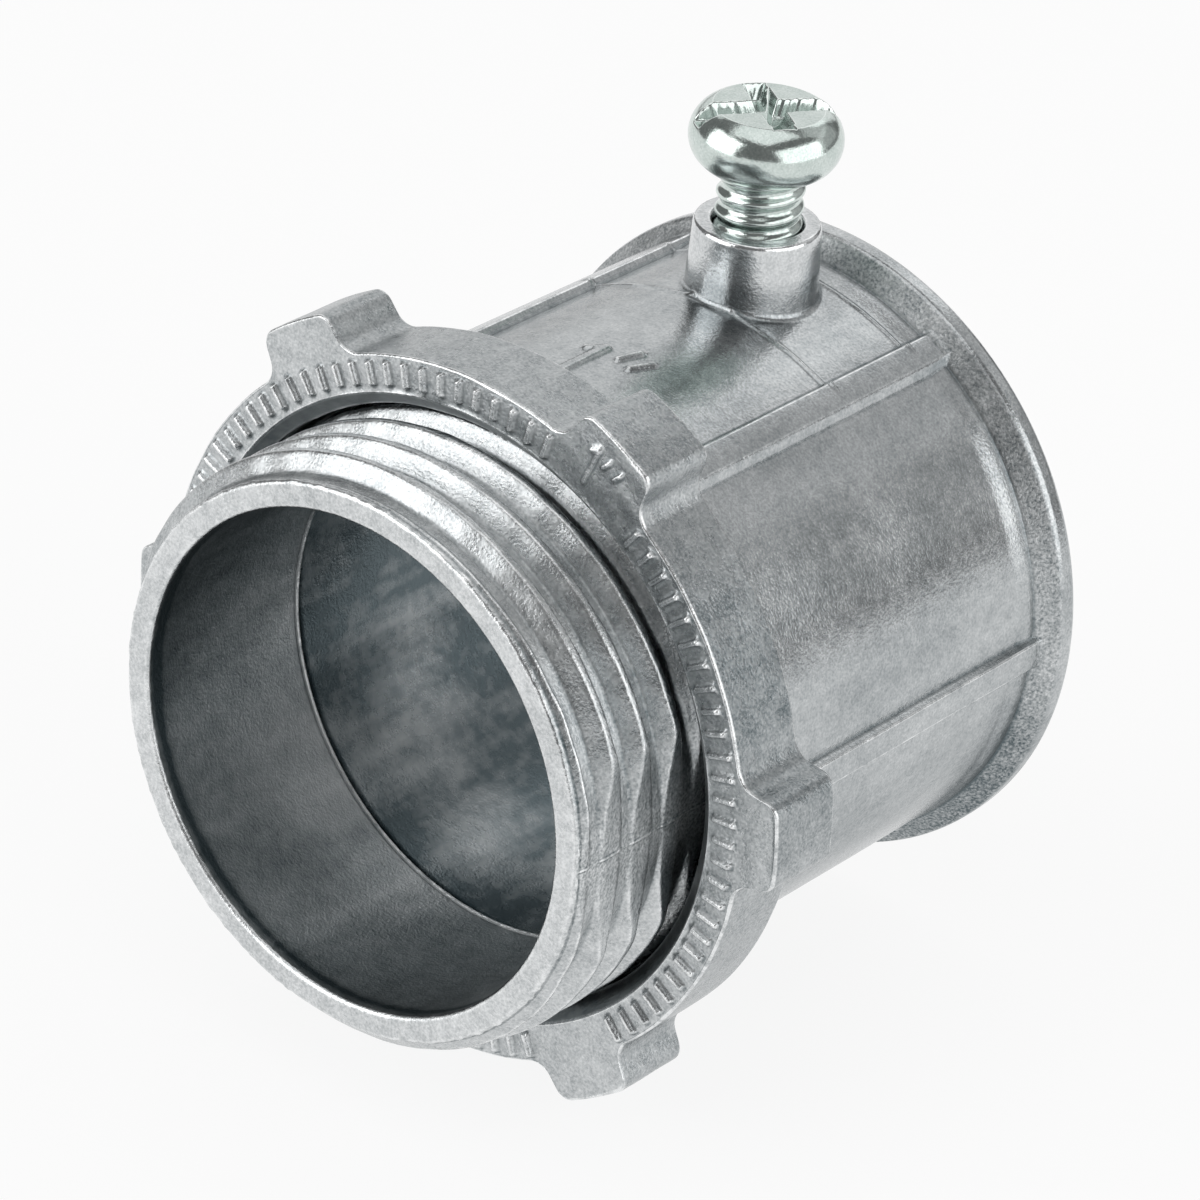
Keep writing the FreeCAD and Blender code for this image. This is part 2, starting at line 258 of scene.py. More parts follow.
class Skin:
    """A value on a piece's surface: a shader socket, whose arithmetic adds Math nodes to its material."""

    def __init__(self, finish, socket=None):
        self.finish = finish
        self.socket = socket

    def node(self, kind, settings, inputs, output=0):
        node = self.finish.node_tree.nodes.new(kind)
        for setting, value in settings.items():
            setattr(node, setting, value)
        for name, value in inputs.items():
            if isinstance(value, Skin):
                self.finish.node_tree.links.new(value.socket, node.inputs[name])
            else:
                node.inputs[name].default_value = value
        return Skin(self.finish, node.outputs[output])

    def math(self, operation, first, second):
        return self.node("ShaderNodeMath", {"operation": operation}, {0: first, 1: second})

    def __add__(self, other):
        return self.math("ADD", self, other)

    __radd__ = __add__

    def __sub__(self, other):
        return self.math("SUBTRACT", self, other)

    def __rsub__(self, other):
        return self.math("SUBTRACT", other, self)

    def __mul__(self, other):
        return self.math("MULTIPLY", self, other)

    __rmul__ = __mul__

    def between(self, low, high):
        """0 at low, 1 at high, smooth between and level outside."""
        return self.node("ShaderNodeMapRange", {"interpolation_type": "SMOOTHSTEP"},
                         {"Value": self, "From Min": low, "From Max": high})

    def blend(self, low, high):
        """The colour low where this value is 0 and high where it is 1."""
        return self.node("ShaderNodeMix", {"data_type": "RGBA"}, {0: self, 6: low, 7: high}, 2)

    def clouds(self, size, detail, stretch=(1, 1, 1)):
        """Cloudy noise of about -1 to 1, its cells a size in millimetres over the stretch along each axis."""
        place = self.node("ShaderNodeTexCoord", {}, {}, "Object")
        place = self.node("ShaderNodeMapping", {}, {"Vector": place, "Scale": stretch})
        noise = self.node("ShaderNodeTexNoise", {}, {
            "Vector": place, "Scale": 1 / (size * MM), "Detail": detail, "Roughness": 0.6})
        return (noise - 0.5) * 4

    def attribute(self, name):
        """A number kept on the piece's vertices."""
        return self.node("ShaderNodeAttribute", {"attribute_name": name}, {}, "Fac")


def metal_finish(tone, dark, light, roughness, height, depth):
    """The finished metal: its tone from dark to light, its roughness, and bumps of a depth in millimetres."""
    tree = tone.finish.node_tree
    shader = tree.nodes["Principled BSDF"]
    shader.inputs["Metallic"].default_value = 1.0
    tree.links.new(tone.blend(dark, light).socket, shader.inputs["Base Color"])
    tree.links.new(roughness.socket, shader.inputs["Roughness"])
    bump = tone.node("ShaderNodeBump", {}, {"Height": height, "Distance": depth * MM, "Strength": 1.0})
    tree.links.new(bump.socket, shader.inputs["Normal"])
    return tone.finish


def new_finish(name):
    """The surface of a new material, to build values on."""
    finish = bpy.data.materials.new(name)
    finish.use_nodes = True
    return Skin(finish)


def zinc_casting(name, brightness, sand, dash, gloss, grain_depth, top_highlight_share):
    """As-cast zinc: clouds and sandy mottling of tone and gloss, light edges, dark dull hollows, fine grain.

    The tone between dark and light is the brightness plus each noise times its weight, lightened on convex
    edges, partly for wear and partly as a painted highlight, and darkened in hollows as painted shade, where
    the skin is also duller. Sand and dash are the strengths of the mottling and of short marks along the
    axis.
    The bore is darker, with broad soft streaks. Where shade is above 0 the skin is darker, and lighter where
    it is below 0, as painted shade and painted light; rough places are duller and more grainy. A share above
    0 for the top highlight makes the skin that much lighter and glossier high up, most on the boss, as a
    painted highlight.
    """
    skin = new_finish(name)
    edge = skin.attribute("edge")
    bore = skin.attribute("bore")
    shade = skin.attribute("shade")
    rough = skin.attribute("rough")
    place = skin.node("ShaderNodeTexCoord", {}, {}, "Object")
    height = skin.node("ShaderNodeSeparateXYZ", {}, {0: place}, "Z")
    # Painted highlight: the skin high up, most on the boss, is made lighter and glossier.
    top_highlight = height.between(top_highlight_start_z * MM, top_highlight_full_z * MM) * top_highlight_share
    patches = skin.clouds(6, 4)
    mottle = skin.clouds(0.8, 4)
    grain = skin.clouds(0.16, 3)
    flow = skin.clouds(1.4, 4, (1, 0.15, 1))
    dashes = skin.clouds(0.5, 2, (1, 3.6, 1))
    # Convex edges are lightened, partly for wear and partly as a painted highlight.
    wear_and_highlight = edge.between(0.6, 3.0) * (0.78 + mottle * 0.9)
    # Painted shade: hollows are darkened, and made duller too.
    hollow_shade = (0 - edge).between(0.3, 2.2)
    skin_tone = brightness + patches * 0.09 + mottle * (0.03 + 0.08 * sand) + flow * 0.07
    skin_tone = skin_tone + grain * (0.2 * sand) + dashes * (0.16 * dash) + wear_and_highlight * 0.4 - hollow_shade * 0.24
    skin_tone = skin_tone + top_highlight + rough * grain * 0.25
    streaks = skin.clouds(6, 4, (1, 0.6, 1))
    bore_tone = brightness * 0.4 + streaks * 0.25 + flow * 0.1 + mottle * 0.1 + wear_and_highlight * 0.6
    # The shade attribute is painted shade above 0 and painted light below 0.
    tone = skin_tone + bore * (bore_tone - skin_tone) - shade * 0.15
    roughness = gloss + mottle * 0.05 + patches * 0.03 + hollow_shade * 0.2 + bore * 0.1 + rough * 0.2 - wear_and_highlight * 0.06
    roughness = roughness - top_highlight * 0.2
    relief = (grain + mottle) * (0.5 * sand) + rough * grain * 0.4 + (1 - bore) * dashes * dash
    relief = relief + flow * (0.26 * sand)
    return metal_finish(tone, zinc_dark, zinc_light, roughness, relief, grain_depth)


zinc_dark = (0.103, 0.130, 0.141, 1)
zinc_light = (0.83, 0.845, 0.85, 1)
# Heights over which the painted highlight high up, most on the boss, sets in.
top_highlight_start_z = 18.2
top_highlight_full_z = 19.4
cast_zinc_thread = zinc_casting(
    "die_cast_zinc_thread", brightness=0.59, sand=1.1, dash=0.2, gloss=0.27, grain_depth=0.013, top_highlight_share=0)

wire_way_start = 0.2
nipple_skin_margin = 0.2
parting_rough_angle = 10.0
# Painted shade and light: a darker band along either flank, a throat darker at its top and lighter at its
# bottom, and a lighter front face.
shaded_flank_angle = 68.0
shaded_flank_spread = 18.0
mouth_ring_y = -12.0
mouth_ring_half_width = 0.3
mouth_ring_shade = 4.0
throat_shade = -0.6
throat_height_shade = 1.2
nipple_face_shade = -0.85


def from_axis(points):
    """Distance of each point from the axis."""
    return np.hypot(points[:, 0], points[:, 2])


def from_top(points):
    """Angle of each point round the axis, from 0 at the top to 180 degrees at the bottom, on either side."""
    return np.degrees(np.arctan2(np.abs(points[:, 0]), points[:, 2]))


def in_wire_way(points):
    """True inside the nipple's mouth and the conduit socket, just behind their rounded edges."""
    behind_edge = points[:, 1] > -nipple_length + wire_way_start
    return (from_axis(points) < socket_radius + surface_margin) & behind_edge


def beside_parting(points):
    """Roughness of the nipple's outside: a bell curve in the angle from the flash at either side."""
    outside = from_axis(points) > nipple_tail_radius + nipple_skin_margin
    return np.exp(-((from_top(points) - flash_angle) / parting_rough_angle) ** 2) * outside


def flank_painted_shade(points):
    """A band of painted shade along either side of the castings, a bell curve in the angle."""
    return np.exp(-((from_top(points) - shaded_flank_angle) / shaded_flank_spread) ** 2)


def height_share(points):
    """1 at the top of a bore and -1 at its bottom: the height over the radius."""
    return points[:, 2] / from_axis(points)


def nipple_shade(points):
    """Painted light and shade of the nipple: light front face, dark flanks, a throat darker towards its top.

    A dark ring lies inside the mouth, a bell curve in the distance along the axis.
    """
    face = points[:, 1] < -nipple_length + surface_margin
    ring = np.exp(-((points[:, 1] - mouth_ring_y) / mouth_ring_half_width) ** 2)
    throat = mouth_ring_shade * ring + throat_shade + throat_height_shade * height_share(points)
    return np.where(in_wire_way(points), throat, np.where(face, nipple_face_shade, flank_painted_shade(points)))


def from_nearest(offset, pitch):
    """Distance of an offset from the nearest whole number of pitches."""
    return np.abs(offset - pitch * np.round(offset / pitch))


def from_crest(angle, y):
    """Distance along the axis from the thread's nearest crest, which moves one pitch each turn."""
    offset = y - thread_crest_y_at_mark - thread_pitch * (angle - thread_mark_angle) / 360
    return from_nearest(offset, thread_pitch)


def nipple_radius(angle, y):
    """Radius of the threaded outside: the smallest of the ridge, the lead-in cone and the parting flats.

    A crest's ridge is its flat top, or its flank where that is lower: crest radius less the distance past
    the flat's edge over tan(flank angle).
    """
    waves = unevenness(angle, y * crest_wave_stretch, seed=8, finest=45)
    half_width = thread_crest_width / 2 + crest_unevenness * waves
    flank = thread_crest_radius - (from_crest(angle, y) - half_width) / thread_slope
    ridge = soft_min(thread_crest_radius, flank, thread_rounding)
    radius = soft_max(thread_root_radius, ridge, thread_rounding)
    lead_in = nipple_face_radius + (y + nipple_length - nipple_face_edge_radius) * (
        (lead_in_outer_radius - nipple_face_radius) / lead_in_length)
    radius = soft_min(radius, lead_in, thread_rounding)
    smallest_sine = 0.05
    flats = parting_half_width / np.maximum(np.abs(np.sin(np.radians(angle))), smallest_sine)
    radius = soft_min(radius, flats, parting_rounding)
    from_flash = (np.abs(angle) - flash_angle) * np.radians(thread_root_radius) / flash_half_width
    return radius + flash_height * np.exp(-from_flash ** 2)


nipple_rows = rounded_loop([
    (mouth_radius, -nipple_length + mouth_fine_length, 0, 0.2),
    (mouth_radius, -nipple_length, mouth_edge_radius, 0.25),
    (nipple_face_radius, -nipple_length, nipple_face_edge_radius, 0.1),
    (thread_root_radius, -nipple_length + lead_in_length / 2, 0, 0.085),
    (thread_root_radius, fine_thread_end_y, 0, 0.15),
    (thread_root_radius, nipple_tail_y, 0, 0.3),
    (nipple_tail_radius, nipple_tail_y, 0, 0.5),
    (nipple_tail_radius, conduit_stop_y, 0, 0.3),
    (throat_rear_radius - throat_lip_height, conduit_stop_y, 0.02, 0.1),
    (throat_rear_radius - throat_lip_height, conduit_stop_y - throat_lip_length, 0.02, 0.1),
    (throat_rear_radius, conduit_stop_y - throat_lip_foot, 0.02, 1.0),
])
flash_offsets = spread(1.2, 0.12)
nipple_columns = angle_columns(0.78, [(flash_angle, flash_offsets), (-flash_angle, flash_offsets)])
row_radius, row_y = nipple_rows[:, :1], nipple_rows[:, 1:]
behind_face = row_y > -nipple_length + nipple_face_edge_radius - row_margin
on_thread = (row_radius > nipple_face_radius - 2 * row_margin) & behind_face & (row_y < nipple_tail_y)
threaded = np.maximum(nipple_radius(nipple_columns, row_y), row_radius)
grid_radius = np.where(on_thread, threaded, row_radius)
past_mouth = row_radius > mouth_radius + smooth_mouth_width
grid_radius = grid_radius - skin_depth(nipple_columns, row_y, seed=3) * past_mouth
at_burr = np.abs(row_radius - nipple_face_radius) < burr_half_width
at_burr = at_burr & (row_y < -nipple_length + burr_reach_y)
burr = np.maximum(unevenness(nipple_columns, row_y, seed=21, finest=150), 0)
grid_radius = grid_radius + at_burr * burr_height * burr
nipple_points = turned(grid_radius, row_y, nipple_columns)
make_piece(
    "nipple", nipple_points, grid_faces(*nipple_points.shape[:2]),
    cast_zinc_thread, "body", "connector_body",
    {"bore": in_wire_way, "rough": beside_parting, "shade": nipple_shade})

# The barrel: the conduit end of the same zinc casting, a tube with six ribs, a shoulder that seats against
# the box, a bead round the open end and a boss for the set screw. The joints of the die's inserts leave two
# fine raised lines across the top panel, and the size mark is raised in the panel between them.
socket_entry_chamfer = 0.5
barrel_length = 26.1
panel_radius = 17.4
shoulder_radius = 18.3
shoulder_length = 1.2
shoulder_edge_radius = 0.25
shoulder_fillet_radius = 0.5
bead_radius = 18.74
bead_width = 1.3
bead_ramp_length = 1.15
bead_edge_radius = 0.5
bead_fillet_radius = 0.3
barrel_lip_radius = 15.4
barrel_lip_y = -0.5
rib_angles = (-150, -90, -30, 30, 90, 150)
rib_top_half_width = 0.76
rib_steep_half_width = 0.98
rib_drafted_half_width = 1.27
rib_height = 0.5
rib_top_rounding = 0.12
rib_foot_rounding = 0.05
rib_flank_depth = 0.4
ribbed_end_y = 24.3
witness_lines = ((15.2, 0.11), (22.0, 0.07))
witness_half_width = 0.12
witness_reach_angle = 30.0
witness_fade_angle = 2.0
fore_line_start, fore_line_end = 14.8, 15.6
rear_line_start, rear_line_end = 21.6, 22.4
screw_y = 18.66
boss_radius = 3.49
boss_draft = 0.15
boss_top_z = 21.35
boss_edge_radius = 0.3
boss_fillet_radius = 0.35
screw_hole_radius = 2.5
hole_mouth_chamfer = 0.18
opening_y_start = 14.0
opening_y_end = 23.08
opening_half_angle = 17.2
foot_swell_height = 0.11
foot_swell_start = 22.1
foot_swell_length = 1.5
panel_wave_stretch = 0.3
panel_mark_height = 0.22
panel_mark_softness = 0.22
panel_mark_start_y, panel_mark_end_y = 2.7, 8.0
panel_mark_strokes = (
    (-0.41, 2.95, -0.41, 6.75, 0.30),
    (-0.5, 6.6, -1.2, 6.1, 0.2),
    (0.85, 6.2, 1.25, 7.7, 0.17),
    (1.85, 5.9, 2.4, 7.45, 0.17),
)


def smooth_step(value):
    """0 below 0, 1 above 1, and a smooth cubic between."""
    t = np.clip(value, 0, 1)
    return t * t * (3 - 2 * t)


def strokes(across, along, stroke_list, softness):
    """Raised strokes, 1 on top and 0 outside, each (across, along) of its two ends and its half width.

    The distance to a stroke is that to the nearest point of its centre line, whose share of the way along
    is the projection of the place on the line, kept between 0 and 1.
    """
    height = 0
    for x0, y0, x1, y1, half_width in stroke_list:
        dx, dy = x1 - x0, y1 - y0
        share = np.clip(((across - x0) * dx + (along - y0) * dy) / (dx * dx + dy * dy), 0, 1)
        distance = np.hypot(across - x0 - share * dx, along - y0 - share * dy)
        height = np.maximum(height, smooth_step((half_width + softness / 2 - distance) / softness))
    return height


def panel_surface(angle, y, base):
    """Radius of the barrel's outside: the turned base, the ribs, the witness lines and the size mark.

    In front of the bead's ramp the panels swell a little, by a smooth cubic in the distance along the axis.
    A rib's height falls in proportion to the distance from its centre line, from its top's edge to its foot,
    which is farther out on the side of the die's parting plane, where the die's draft makes the flank slope.
    A witness line is a bell curve in the distance along the axis.
    """
    swell = foot_swell_height * smooth_step((y - foot_swell_start) / foot_swell_length)
    radius = np.maximum(base, panel_radius + swell)
    for rib_angle in rib_angles:
        from_rib = np.abs(wrapped(angle - rib_angle)) * np.radians(panel_radius)
        drafted = (np.abs(angle) - abs(rib_angle)) * (90 - abs(rib_angle)) > 0
        half_width = np.where(drafted, rib_drafted_half_width, rib_steep_half_width)
        flank = (half_width - from_rib) / (half_width - rib_top_half_width)
        rib = panel_radius + rib_height * soft_min(1, flank, rib_top_rounding)
        radius = soft_max(radius, np.maximum(rib, panel_radius - rib_flank_depth), rib_foot_rounding)
    line_share = smooth_step((witness_reach_angle - np.abs(angle)) / witness_fade_angle)
    for witness_y, witness_height in witness_lines:
        bell = np.exp(-((y - witness_y) / witness_half_width) ** 2)
        radius = radius + witness_height * bell * line_share
    mark = strokes(angle * np.radians(panel_radius), y, panel_mark_strokes, panel_mark_softness)
    return radius + panel_mark_height * mark


def panel_skin_depth(angle, y):
    """How far the barrel's outside lies inside its full size."""
    return skin_depth(angle, y * panel_wave_stretch, seed=5, finest=9)


barrel_rows = rounded_loop([
    (socket_radius, barrel_lip_y, 0, 1.2),
    (socket_radius, opening_y_start, 0, 0.21),
    (socket_radius, fore_line_start, 0, 0.085),
    (socket_radius, fore_line_end, 0, 0.25),
    (socket_radius, rear_line_start, 0, 0.085),
    (socket_radius, rear_line_end, 0, 0.21),
    (socket_radius, opening_y_end, 0, 0.8),
    (socket_radius, barrel_length - socket_entry_chamfer, 0.12, 0.3),
    (socket_radius + socket_entry_chamfer, barrel_length, 0.15, 0.6),
    (bead_radius, barrel_length, bead_edge_radius, 0.5),
    (bead_radius, barrel_length - bead_width, bead_edge_radius, 0.3),
    (panel_radius, barrel_length - bead_width - bead_ramp_length, bead_fillet_radius, 0.1),
    (panel_radius, opening_y_end, 0, 0.21),
    (panel_radius, rear_line_end, 0, 0.085),
    (panel_radius, rear_line_start, 0, 0.25),
    (panel_radius, fore_line_end, 0, 0.085),
    (panel_radius, fore_line_start, 0, 0.21),
    (panel_radius, opening_y_start, 0, 0.6),
    (panel_radius, panel_mark_end_y, 0, 0.15),
    (panel_radius, panel_mark_start_y, 0, 0.4),
    (panel_radius, shoulder_length, shoulder_fillet_radius, 0.2),
    (shoulder_radius, shoulder_length, shoulder_edge_radius, 0.5),
    (shoulder_radius, 0, shoulder_edge_radius, 0.8),
    (barrel_lip_radius, 0, 0, 0.5),
    (barrel_lip_radius, barrel_lip_y, 0, 0.5),
])
rib_flank_offsets = np.array([1.3, 2.1, 2.35, 2.5, 2.65, 2.9, 3.15, 3.35, 3.6, 3.9, 4.15, 4.4, 4.8])
rib_offsets = np.concatenate([-rib_flank_offsets[::-1], [0], rib_flank_offsets])
rib_zones = [(rib_angle, rib_offsets) for rib_angle in rib_angles]
opening_zone = (0, spread(opening_half_angle, 0.8))
panel_mark_zone = (2.0, spread(8.4, 0.4))
barrel_columns = angle_columns(2.0, [opening_zone, panel_mark_zone] + rib_zones)
row_radius, row_y = barrel_rows[:, :1], barrel_rows[:, 1:]
outside = row_radius > panel_radius - surface_margin
ribbed_rows = outside & (row_y > shoulder_length - row_margin) & (row_y < ribbed_end_y)
ribbed = panel_surface(barrel_columns, row_y, row_radius + 0 * barrel_columns)
barrel_radius = np.where(ribbed_rows, np.maximum(ribbed, row_radius), row_radius)
barrel_radius = barrel_radius - panel_skin_depth(barrel_columns, row_y) * outside
barrel_points = turned(barrel_radius, row_y, barrel_columns)
barrel_faces = grid_faces(*barrel_points.shape[:2])

# The boss on the barrel: the same casting, a drafted post with a filleted foot. The set screw's hole goes
# down through it into the socket, so the barrel's grid is opened there, outside and inside, and both
# openings are joined by rings that run in over the panel, up the boss, down the hole and out in the socket.
opening_columns = np.flatnonzero(np.abs(barrel_columns) <= opening_half_angle + row_margin)
in_opening = (row_y[:, 0] > opening_y_start - row_margin) & (row_y[:, 0] < opening_y_end + row_margin)
outer_rows = np.flatnonzero(in_opening & outside[:, 0])
inner_rows = np.flatnonzero(in_opening & (row_radius[:, 0] < socket_radius + surface_margin))[::-1]
boss_fillet_steps = np.linspace(0, np.pi / 2, 9)
boss_edge_steps = np.linspace(0, np.pi / 2, 5)
hole_edge_inset, hole_edge_drop = 0.07, 0.02
hole_foot_inset, hole_foot_rise = 0.02, 0.06
bead_ramp_start_y = 23.7
bead_ramp_rise = 0.25
# Painted shade: the socket darker, most at its top, and the barrel's underside darker.
socket_shade = 1.4
socket_height_shade = 0.7
underside_shade = 1.8
underside_start_angle = 92.0
underside_fade_angle = 24.0
cast_zinc = zinc_casting(
    "die_cast_zinc", brightness=0.48, sand=0.85, dash=0.06, gloss=0.165, grain_depth=0.009, top_highlight_share=0.24)


def border(rows):
    """Grid numbers of the rim of an opening, once round."""
    columns = opening_columns
    width = len(barrel_columns)
    return np.concatenate([
        rows[0] * width + columns[:-1],
        rows[:-1] * width + columns[-1],
        rows[-1] * width + columns[:0:-1],
        rows[:0:-1] * width + columns[0],
    ])


def over_panel(x, y):
    """Height of the barrel's outside above the axis plane at (x, y): sqrt(radius squared - x squared)."""
    angle = np.degrees(np.arcsin(x / panel_radius))
    radius = panel_surface(angle, y, panel_radius + 0 * x) - panel_skin_depth(angle, y)
    return np.sqrt(radius ** 2 - x ** 2)


def barrel_shade(points):
    """Painted shade of the barrel: a dark socket, darkest at its top, and outside a dark underside."""
    socket = socket_shade + socket_height_shade * height_share(points)
    below = smooth_step((from_top(points) - underside_start_angle) / underside_fade_angle)
    return np.where(in_wire_way(points), socket, underside_shade * below)


def rough_ramp(points):
    """Roughness of the barrel's outside: 1 on the bead's ramp."""
    on_ramp = (points[:, 1] > bead_ramp_start_y) & (points[:, 1] < barrel_length - bead_width)
    return (from_axis(points) > panel_radius + bead_ramp_rise) & on_ramp


outer_border = border(outer_rows)
inner_border = border(inner_rows)
flat_points = barrel_points.reshape(-1, 3)
outer_rim = flat_points[outer_border] - (0, screw_y, 0)
inner_rim = flat_points[inner_border] - (0, screw_y, 0)
outer_turn = np.arctan2(outer_rim[:, 1], outer_rim[:, 0])
inner_turn = np.arctan2(inner_rim[:, 1], inner_rim[:, 0])
turn_gap = (inner_turn - outer_turn + np.pi) % (2 * np.pi) - np.pi
outer_reach = np.hypot(outer_rim[:, 0], outer_rim[:, 1])
inner_reach = np.hypot(inner_rim[:, 0], inner_rim[:, 1])
boss_foot_radius = boss_radius + boss_draft
fillet_start = boss_foot_radius + boss_fillet_radius
rings = []


def add_ring(reach, turn, height):
    """One ring of the boss: reach from the screw's axis, direction, and a height or a surface to lie on."""
    x = reach * np.cos(turn)
    y = reach * np.sin(turn) + screw_y
    z = height(x, y) if callable(height) else height + 0 * x
    rings.append(np.stack([x, y, z], axis=-1))


for share in np.linspace(0, 1, 14)[1:]:
    add_ring(outer_reach + share * (fillet_start - outer_reach), outer_turn, over_panel)
for step in boss_fillet_steps[1:]:
    rise = boss_fillet_radius * (1 - np.cos(step))
    add_ring(fillet_start - boss_fillet_radius * np.sin(step), outer_turn,
             lambda x, y: over_panel(x, y) + rise)
side_foot_z = rings[-1][:, 2]
side_top_z = boss_top_z - boss_edge_radius
for share in np.linspace(0, 1, 9)[1:]:
    wall_z = side_foot_z + share * (side_top_z - side_foot_z)
    add_ring(boss_foot_radius - share * boss_draft, outer_turn, wall_z)
for step in boss_edge_steps[1:]:
    edge_z = side_top_z + boss_edge_radius * np.sin(step)
    add_ring(boss_radius - boss_edge_radius * (1 - np.cos(step)), outer_turn, edge_z)
hole_mouth_radius = screw_hole_radius + hole_mouth_chamfer
for reach in np.linspace(boss_radius - boss_edge_radius, hole_mouth_radius, 5)[1:]:
    add_ring(reach, outer_turn, boss_top_z)
hole_top = boss_top_z - hole_mouth_chamfer
add_ring(hole_mouth_radius - hole_edge_inset, outer_turn, boss_top_z - hole_edge_drop)
add_ring(screw_hole_radius + hole_foot_inset, outer_turn, hole_top + hole_foot_rise)
add_ring(screw_hole_radius, outer_turn, hole_top)
for share in np.linspace(0, 1, 9)[1:]:
    turn = outer_turn + share * turn_gap
    add_ring(screw_hole_radius, turn,
             lambda x, y: hole_top + share * (np.sqrt(socket_radius ** 2 - x ** 2) - hole_top))
for share in np.linspace(0, 1, 9)[1:-1]:
    add_ring(screw_hole_radius + share * (inner_reach - screw_hole_radius), outer_turn + turn_gap,
             lambda x, y: np.sqrt(socket_radius ** 2 - x ** 2))

in_rows = np.zeros(len(barrel_rows), bool)
in_rows[outer_rows[:-1]] = True
in_rows[inner_rows[1:]] = True
in_columns = np.zeros(len(barrel_columns), bool)
in_columns[opening_columns[:-1]] = True
kept_faces = barrel_faces[~(in_rows[:, None] & in_columns)]
ring_points = np.array(rings)
ring_numbers = len(flat_points) + np.arange(ring_points[..., 0].size).reshape(ring_points.shape[:2])
ring_numbers = np.concatenate([outer_border[None], ring_numbers, inner_border[None]])
next_numbers = np.roll(ring_numbers, -1, axis=1)
ring_faces = np.stack([ring_numbers[:-1], next_numbers[:-1], next_numbers[1:], ring_numbers[1:]], axis=-1)
make_piece(
    "barrel",
    np.concatenate([flat_points, ring_points.reshape(-1, 3)]),
    np.concatenate([kept_faces, ring_faces.reshape(-1, 4)]),
    cast_zinc, "body", "connector_body",
    {"bore": in_wire_way, "rough": rough_ramp, "shade": barrel_shade})

# The locknut: a ring with six lugs, the second zinc die casting, run on the nipple's thread by hand and
# driven home by a blow on a lug. Radial ridges on its front face keep it from backing off, and one of the
# three smooth lugs carries the size mark. Its skin is sandier than the barrel's.
nut_front_y = -4.86
nut_back_y = -0.06
nut_bore_radius = 16.75
nut_radius = 19.82
nut_mouth_chamfer = 0.95
nut_back_chamfer = 0.5
nut_front_edge_radius = 0.16
nut_back_edge_radius = 0.15
nut_groove_depth = 0.6
nut_groove_floor_half_width = 0.25
lug_count = 6
lug_pitch = 360 / lug_count
lug_first_angle = 26.6
lug_tip_radius = 22.09
lug_tip_half_width = 2.45
lug_flank_spread = 0.145
lug_corner_radius = 0.6
lug_root_fillet_radius = 0.9
lug_zone_radius = 19.62
smooth_lug_count = 3
smooth_lug_pitch = 360 / smooth_lug_count
ridge_count = 28
ridge_pitch_angle = 3.69
ridge_first_angle = 10.2
ridge_inner_radius = 18.0
ridge_outer_radius = 19.55
ridge_base_half_width = 0.27
ridge_top_half_width = 0.08
ridge_end_ramp = 0.2
ridge_end_length = 0.25
ridge_height = 0.3
ridge_unevenness = 0.06
lug_flank_angle = 7.2
nut_edge_margin = 0.1
fine_row_margin = 0.001
# Painted shade on the locknut's outer wall, most along its flanks.
nut_wall_shade = 0.9
nut_flank_shade = 1.1
lug_mark_height = 0.18
lug_mark_softness = 0.12
lug_mark_radius = 20.0
lug_mark_strokes = (
    (-0.66, 18.6, -0.74, 20.9, 0.13),
    (-0.78, 20.85, -1.05, 20.6, 0.2),
    (-0.12, 20.3, 0.05, 20.75, 0.13),
    (0.72, 20.25, 0.9, 20.75, 0.13),
)
cast_zinc_nut = zinc_casting(
    "die_cast_zinc_locknut", brightness=0.55, sand=1.1, dash=0.2, gloss=0.28, grain_depth=0.013, top_highlight_share=0)


def nut_outline(angle):
    """Radius of the locknut's outline at each angle, with rounded lug corners and filleted lug roots.

    The outline is where the signed distance to ring and lugs is zero, found by halving a span of radii round
    it over and over. A rounded corner of two distances is the length of their parts beyond the corner's
    centre less its radius, and a fillet is the same with the signs turned.
    """
    halvings = 40
    from_lug = np.radians((angle - lug_first_angle + lug_pitch / 2) % lug_pitch - lug_pitch / 2)
    low = np.full(angle.shape, nut_radius - 1.0)
    high = np.full(angle.shape, lug_tip_radius + 0.5)
    for _ in range(halvings):
        radius = (low + high) / 2
        half_width = lug_tip_half_width + lug_flank_spread * (lug_tip_radius - radius * np.cos(from_lug))
        flank = np.abs(radius * np.sin(from_lug)) - half_width + lug_corner_radius
        tip = radius - lug_tip_radius + lug_corner_radius
        lug = np.minimum(np.maximum(flank, tip), 0) + np.hypot(np.maximum(flank, 0), np.maximum(tip, 0))
        lug = lug - lug_corner_radius
        ring = radius - nut_radius
        bend = np.hypot(
            np.maximum(lug_root_fillet_radius - ring, 0), np.maximum(lug_root_fillet_radius - lug, 0))
        inside = np.maximum(lug_root_fillet_radius, np.minimum(ring, lug)) < bend
        low = np.where(inside, radius, low)
        high = np.where(inside, high, radius)
    return low


